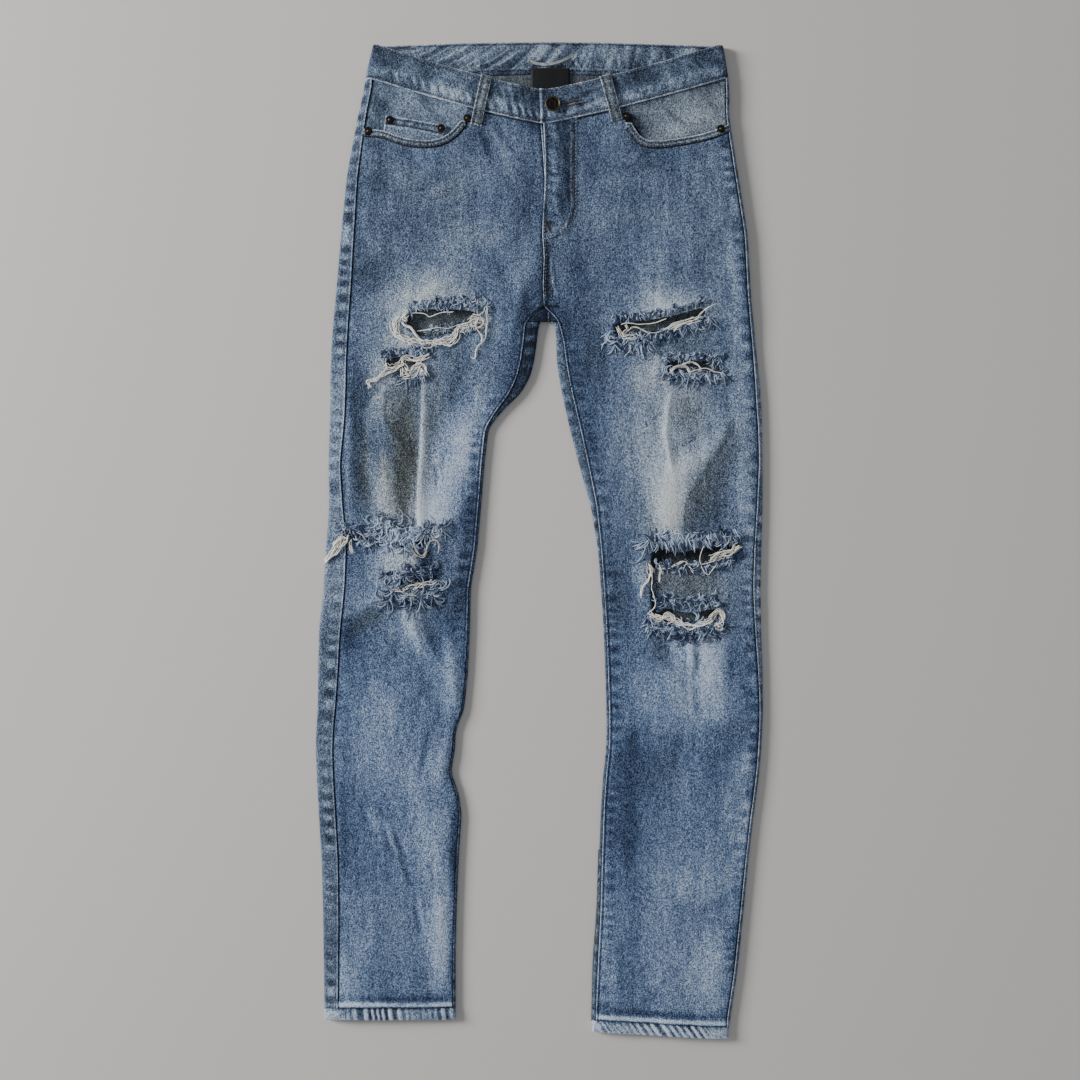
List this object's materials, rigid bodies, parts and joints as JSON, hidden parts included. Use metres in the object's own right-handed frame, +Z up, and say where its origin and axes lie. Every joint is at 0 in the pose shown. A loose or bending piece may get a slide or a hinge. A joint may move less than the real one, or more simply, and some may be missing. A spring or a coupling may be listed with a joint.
{
  "type": "ripped jeans",
  "caption": "Light-wash skinny five-pocket jeans laid flat, front up, with frayed rips at thighs and knees, a waistband with belt loops, a fly button and stitched hems.",
  "frame": {"origin": "middle of the garment's outline, on the surface it lies on", "axes": "+X to the wearer's left, +Y up the body towards the waist, +Z up out of the front"},
  "size_m": [0.4914, 1.0935, 0.0152],
  "materials": {
    "denim": "light-wash indigo denim, slubby warp with pale weft showing, faded along seams and thighs",
    "denim_faded": "paler grey-blue denim, hard worn",
    "denim_seam": "folded and stitched denim, dark in the puckers and pale on the ridges",
    "denim_inside": "reverse of the denim, pale weft over grey-blue warp",
    "thread_blue": "indigo warp yarn, frayed and curled",
    "thread_cream": "undyed cotton weft yarn in loose strands and tufts",
    "stitching": "sewing thread, washed down to grey-blue, with a little tan at the bar tacks",
    "black_cloth": "plain black woven label",
    "tape": "thin woven cotton tape",
    "antique_brass": "dark antique brass, worn bright on its rims"
  },
  "bodies": {
    "root": {"front_right": "denim", "front_left": "denim", "back_right": "denim", "back_left": "denim", "yoke_right": "denim", "yoke_left": "denim", "back_pocket_right": "denim", "back_pocket_left": "denim", "pocket_facing_right": "denim_faded", "pocket_facing_left": "denim_faded", "pocket_band_right": "denim_seam", "pocket_band_left": "denim_seam", "hem_right": "denim_seam", "hem_left": "denim_seam", "waistband": "denim_seam", "fly_placket": "denim", "coin_pocket": "denim", "belt_loop_front_right": "denim_faded", "belt_loop_front_left": "denim_faded", "belt_loop_back_right": "denim_faded", "belt_loop_back_centre": "denim_faded", "belt_loop_back_left": "denim_faded", "label": "black_cloth", "hanger_loop": "tape", "button": "antique_brass", "rivet_right_side": "antique_brass", "rivet_right_waist": "antique_brass", "rivet_coin_outer": "antique_brass", "rivet_coin_inner": "antique_brass", "rivet_left_waist": "antique_brass", "rivet_left_side": "antique_brass"}
  },
  "joints": []
}
